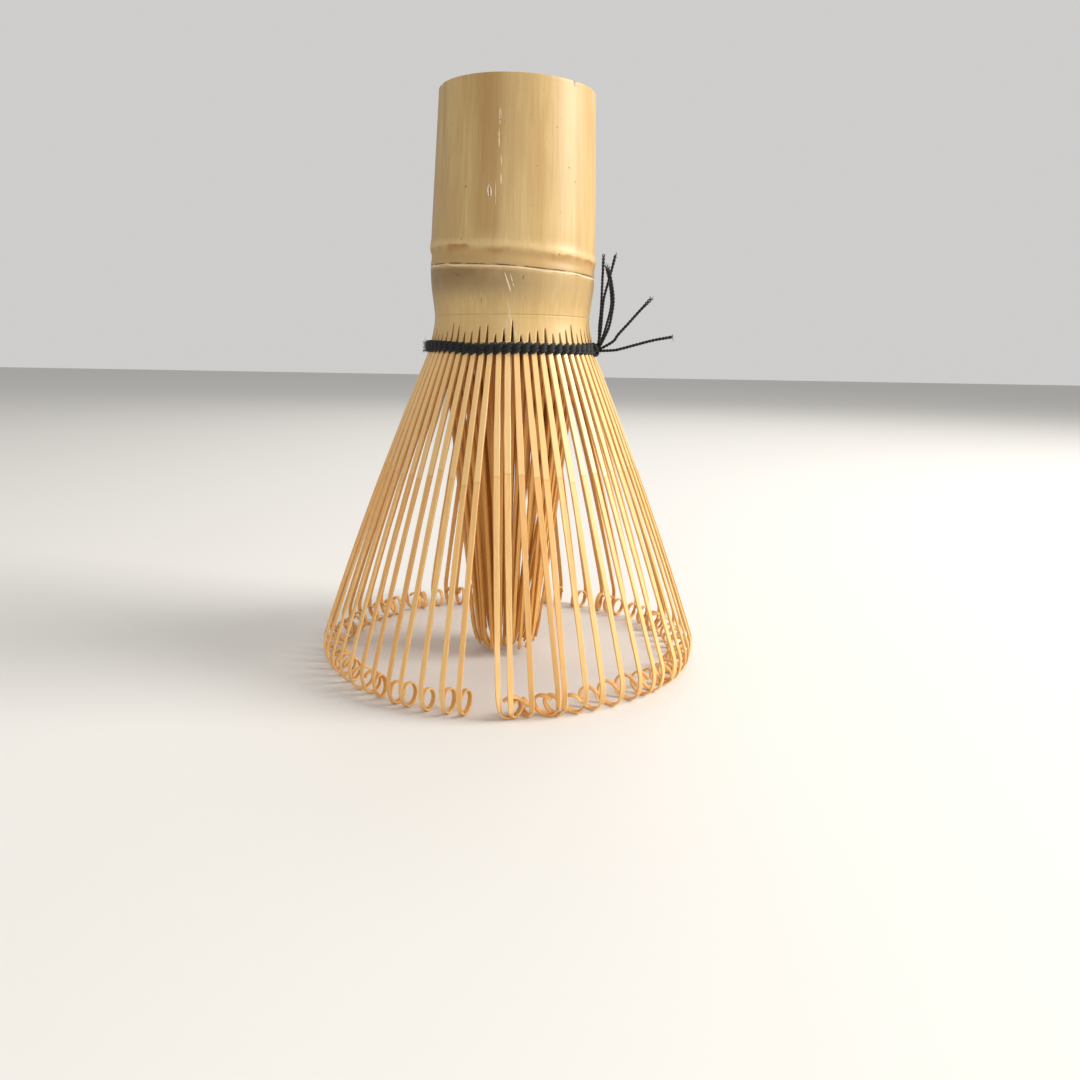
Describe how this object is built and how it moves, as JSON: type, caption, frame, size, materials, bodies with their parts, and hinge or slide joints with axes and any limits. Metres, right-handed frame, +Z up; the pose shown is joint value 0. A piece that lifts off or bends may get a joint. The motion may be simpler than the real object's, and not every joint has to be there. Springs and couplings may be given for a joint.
{
  "type": "bamboo tea whisk",
  "caption": "Tea whisk split from one culm of bamboo: hollow grip, black thread binding, flared outer tines with curled tips and a gathered inner brush that flex.",
  "frame": {"origin": "on the surface the whisk stands on, under the middle of the grip", "axes": "+Z up along the whisk, from the curled tips to the cut end of the grip; the loose thread ends lie on the +X side"},
  "size_m": [0.0664, 0.0664, 0.0944],
  "materials": {
    "culm": "satin split bamboo skin, pale yellow tan with fine lengthwise fibres",
    "outer_tines": "shaved bamboo slats, pale honey, slightly glossy",
    "inner_tines": "shaved bamboo pith side, deeper orange tan, matte",
    "thread": "black plied cotton thread, matte with slight fuzz"
  },
  "bodies": {
    "handle": {"handle_culm": "culm", "binding_band": "thread", "binding_core": "thread", "binding_knot": "thread", "thread_tail_1": "thread", "thread_tail_2": "thread", "thread_tail_3": "thread", "thread_tail_4": "thread", "thread_tail_5": "thread", "thread_tail_6": "thread"},
    "outer_stave_01": {"outer_stave_01": "outer_tines"},
    "outer_stave_02": {"outer_stave_02": "outer_tines"},
    "outer_stave_03": {"outer_stave_03": "outer_tines"},
    "outer_stave_04": {"outer_stave_04": "outer_tines"},
    "outer_stave_05": {"outer_stave_05": "outer_tines"},
    "outer_stave_06": {"outer_stave_06": "outer_tines"},
    "outer_stave_07": {"outer_stave_07": "outer_tines"},
    "outer_stave_08": {"outer_stave_08": "outer_tines"},
    "outer_stave_09": {"outer_stave_09": "outer_tines"},
    "outer_stave_10": {"outer_stave_10": "outer_tines"},
    "outer_stave_11": {"outer_stave_11": "outer_tines"},
    "outer_stave_12": {"outer_stave_12": "outer_tines"},
    "outer_stave_13": {"outer_stave_13": "outer_tines"},
    "outer_stave_14": {"outer_stave_14": "outer_tines"},
    "outer_stave_15": {"outer_stave_15": "outer_tines"},
    "outer_stave_16": {"outer_stave_16": "outer_tines"},
    "inner_stave_01": {"inner_stave_01": "inner_tines"},
    "inner_stave_02": {"inner_stave_02": "inner_tines"},
    "inner_stave_03": {"inner_stave_03": "inner_tines"},
    "inner_stave_04": {"inner_stave_04": "inner_tines"},
    "inner_stave_05": {"inner_stave_05": "inner_tines"},
    "inner_stave_06": {"inner_stave_06": "inner_tines"},
    "inner_stave_07": {"inner_stave_07": "inner_tines"},
    "inner_stave_08": {"inner_stave_08": "inner_tines"},
    "inner_stave_09": {"inner_stave_09": "inner_tines"},
    "inner_stave_10": {"inner_stave_10": "inner_tines"},
    "inner_stave_11": {"inner_stave_11": "inner_tines"},
    "inner_stave_12": {"inner_stave_12": "inner_tines"},
    "inner_stave_13": {"inner_stave_13": "inner_tines"},
    "inner_stave_14": {"inner_stave_14": "inner_tines"},
    "inner_stave_15": {"inner_stave_15": "inner_tines"},
    "inner_stave_16": {"inner_stave_16": "inner_tines"}
  },
  "joints": [
    {"name": "outer_flex_01", "type": "hinge", "parent": "handle", "child": "outer_stave_01", "pos_m": [0.01334, 0.00265, 0.0536], "axis": [0.1951, -0.9808, 0], "range_deg": [-4, 5], "stiffness_Nm_per_rad": 0.012},
    {"name": "outer_flex_02", "type": "hinge", "parent": "handle", "child": "outer_stave_02", "pos_m": [0.01131, 0.00756, 0.0536], "axis": [0.5556, -0.8315, 0], "range_deg": [-4, 5], "stiffness_Nm_per_rad": 0.012},
    {"name": "outer_flex_03", "type": "hinge", "parent": "handle", "child": "outer_stave_03", "pos_m": [0.00756, 0.01131, 0.0536], "axis": [0.8315, -0.5556, 0], "range_deg": [-4, 5], "stiffness_Nm_per_rad": 0.012},
    {"name": "outer_flex_04", "type": "hinge", "parent": "handle", "child": "outer_stave_04", "pos_m": [0.00265, 0.01334, 0.0536], "axis": [0.9808, -0.1951, 0], "range_deg": [-4, 5], "stiffness_Nm_per_rad": 0.012},
    {"name": "outer_flex_05", "type": "hinge", "parent": "handle", "child": "outer_stave_05", "pos_m": [-0.00265, 0.01334, 0.0536], "axis": [0.9808, 0.1951, 0], "range_deg": [-4, 5], "stiffness_Nm_per_rad": 0.012},
    {"name": "outer_flex_06", "type": "hinge", "parent": "handle", "child": "outer_stave_06", "pos_m": [-0.00756, 0.01131, 0.0536], "axis": [0.8315, 0.5556, 0], "range_deg": [-4, 5], "stiffness_Nm_per_rad": 0.012},
    {"name": "outer_flex_07", "type": "hinge", "parent": "handle", "child": "outer_stave_07", "pos_m": [-0.01131, 0.00756, 0.0536], "axis": [0.5556, 0.8315, 0], "range_deg": [-4, 5], "stiffness_Nm_per_rad": 0.012},
    {"name": "outer_flex_08", "type": "hinge", "parent": "handle", "child": "outer_stave_08", "pos_m": [-0.01334, 0.00265, 0.0536], "axis": [0.1951, 0.9808, 0], "range_deg": [-4, 5], "stiffness_Nm_per_rad": 0.012},
    {"name": "outer_flex_09", "type": "hinge", "parent": "handle", "child": "outer_stave_09", "pos_m": [-0.01334, -0.00265, 0.0536], "axis": [-0.1951, 0.9808, 0], "range_deg": [-4, 5], "stiffness_Nm_per_rad": 0.012},
    {"name": "outer_flex_10", "type": "hinge", "parent": "handle", "child": "outer_stave_10", "pos_m": [-0.01131, -0.00756, 0.0536], "axis": [-0.5556, 0.8315, 0], "range_deg": [-4, 5], "stiffness_Nm_per_rad": 0.012},
    {"name": "outer_flex_11", "type": "hinge", "parent": "handle", "child": "outer_stave_11", "pos_m": [-0.00756, -0.01131, 0.0536], "axis": [-0.8315, 0.5556, 0], "range_deg": [-4, 5], "stiffness_Nm_per_rad": 0.012},
    {"name": "outer_flex_12", "type": "hinge", "parent": "handle", "child": "outer_stave_12", "pos_m": [-0.00265, -0.01334, 0.0536], "axis": [-0.9808, 0.1951, 0], "range_deg": [-4, 5], "stiffness_Nm_per_rad": 0.012},
    {"name": "outer_flex_13", "type": "hinge", "parent": "handle", "child": "outer_stave_13", "pos_m": [0.00265, -0.01334, 0.0536], "axis": [-0.9808, -0.1951, 0], "range_deg": [-4, 5], "stiffness_Nm_per_rad": 0.012},
    {"name": "outer_flex_14", "type": "hinge", "parent": "handle", "child": "outer_stave_14", "pos_m": [0.00756, -0.01131, 0.0536], "axis": [-0.8315, -0.5556, 0], "range_deg": [-4, 5], "stiffness_Nm_per_rad": 0.012},
    {"name": "outer_flex_15", "type": "hinge", "parent": "handle", "child": "outer_stave_15", "pos_m": [0.01131, -0.00756, 0.0536], "axis": [-0.5556, -0.8315, 0], "range_deg": [-4, 5], "stiffness_Nm_per_rad": 0.012},
    {"name": "outer_flex_16", "type": "hinge", "parent": "handle", "child": "outer_stave_16", "pos_m": [0.01334, -0.00265, 0.0536], "axis": [-0.1951, -0.9808, 0], "range_deg": [-4, 5], "stiffness_Nm_per_rad": 0.012},
    {"name": "inner_flex_01", "type": "hinge", "parent": "handle", "child": "inner_stave_01", "pos_m": [0.01118, 0.00222, 0.0536], "axis": [0.1951, -0.9808, 0], "range_deg": [-1, 4], "stiffness_Nm_per_rad": 0.008},
    {"name": "inner_flex_02", "type": "hinge", "parent": "handle", "child": "inner_stave_02", "pos_m": [0.00948, 0.00633, 0.0536], "axis": [0.5556, -0.8315, 0], "range_deg": [-1, 4], "stiffness_Nm_per_rad": 0.008},
    {"name": "inner_flex_03", "type": "hinge", "parent": "handle", "child": "inner_stave_03", "pos_m": [0.00633, 0.00948, 0.0536], "axis": [0.8315, -0.5556, 0], "range_deg": [-1, 4], "stiffness_Nm_per_rad": 0.008},
    {"name": "inner_flex_04", "type": "hinge", "parent": "handle", "child": "inner_stave_04", "pos_m": [0.00222, 0.01118, 0.0536], "axis": [0.9808, -0.1951, 0], "range_deg": [-1, 4], "stiffness_Nm_per_rad": 0.008},
    {"name": "inner_flex_05", "type": "hinge", "parent": "handle", "child": "inner_stave_05", "pos_m": [-0.00222, 0.01118, 0.0536], "axis": [0.9808, 0.1951, 0], "range_deg": [-1, 4], "stiffness_Nm_per_rad": 0.008},
    {"name": "inner_flex_06", "type": "hinge", "parent": "handle", "child": "inner_stave_06", "pos_m": [-0.00633, 0.00948, 0.0536], "axis": [0.8315, 0.5556, 0], "range_deg": [-1, 4], "stiffness_Nm_per_rad": 0.008},
    {"name": "inner_flex_07", "type": "hinge", "parent": "handle", "child": "inner_stave_07", "pos_m": [-0.00948, 0.00633, 0.0536], "axis": [0.5556, 0.8315, 0], "range_deg": [-1, 4], "stiffness_Nm_per_rad": 0.008},
    {"name": "inner_flex_08", "type": "hinge", "parent": "handle", "child": "inner_stave_08", "pos_m": [-0.01118, 0.00222, 0.0536], "axis": [0.1951, 0.9808, 0], "range_deg": [-1, 4], "stiffness_Nm_per_rad": 0.008},
    {"name": "inner_flex_09", "type": "hinge", "parent": "handle", "child": "inner_stave_09", "pos_m": [-0.01118, -0.00222, 0.0536], "axis": [-0.1951, 0.9808, 0], "range_deg": [-1, 4], "stiffness_Nm_per_rad": 0.008},
    {"name": "inner_flex_10", "type": "hinge", "parent": "handle", "child": "inner_stave_10", "pos_m": [-0.00948, -0.00633, 0.0536], "axis": [-0.5556, 0.8315, 0], "range_deg": [-1, 4], "stiffness_Nm_per_rad": 0.008},
    {"name": "inner_flex_11", "type": "hinge", "parent": "handle", "child": "inner_stave_11", "pos_m": [-0.00633, -0.00948, 0.0536], "axis": [-0.8315, 0.5556, 0], "range_deg": [-1, 4], "stiffness_Nm_per_rad": 0.008},
    {"name": "inner_flex_12", "type": "hinge", "parent": "handle", "child": "inner_stave_12", "pos_m": [-0.00222, -0.01118, 0.0536], "axis": [-0.9808, 0.1951, 0], "range_deg": [-1, 4], "stiffness_Nm_per_rad": 0.008},
    {"name": "inner_flex_13", "type": "hinge", "parent": "handle", "child": "inner_stave_13", "pos_m": [0.00222, -0.01118, 0.0536], "axis": [-0.9808, -0.1951, 0], "range_deg": [-1, 4], "stiffness_Nm_per_rad": 0.008},
    {"name": "inner_flex_14", "type": "hinge", "parent": "handle", "child": "inner_stave_14", "pos_m": [0.00633, -0.00948, 0.0536], "axis": [-0.8315, -0.5556, 0], "range_deg": [-1, 4], "stiffness_Nm_per_rad": 0.008},
    {"name": "inner_flex_15", "type": "hinge", "parent": "handle", "child": "inner_stave_15", "pos_m": [0.00948, -0.00633, 0.0536], "axis": [-0.5556, -0.8315, 0], "range_deg": [-1, 4], "stiffness_Nm_per_rad": 0.008},
    {"name": "inner_flex_16", "type": "hinge", "parent": "handle", "child": "inner_stave_16", "pos_m": [0.01118, -0.00222, 0.0536], "axis": [-0.1951, -0.9808, 0], "range_deg": [-1, 4], "stiffness_Nm_per_rad": 0.008}
  ]
}
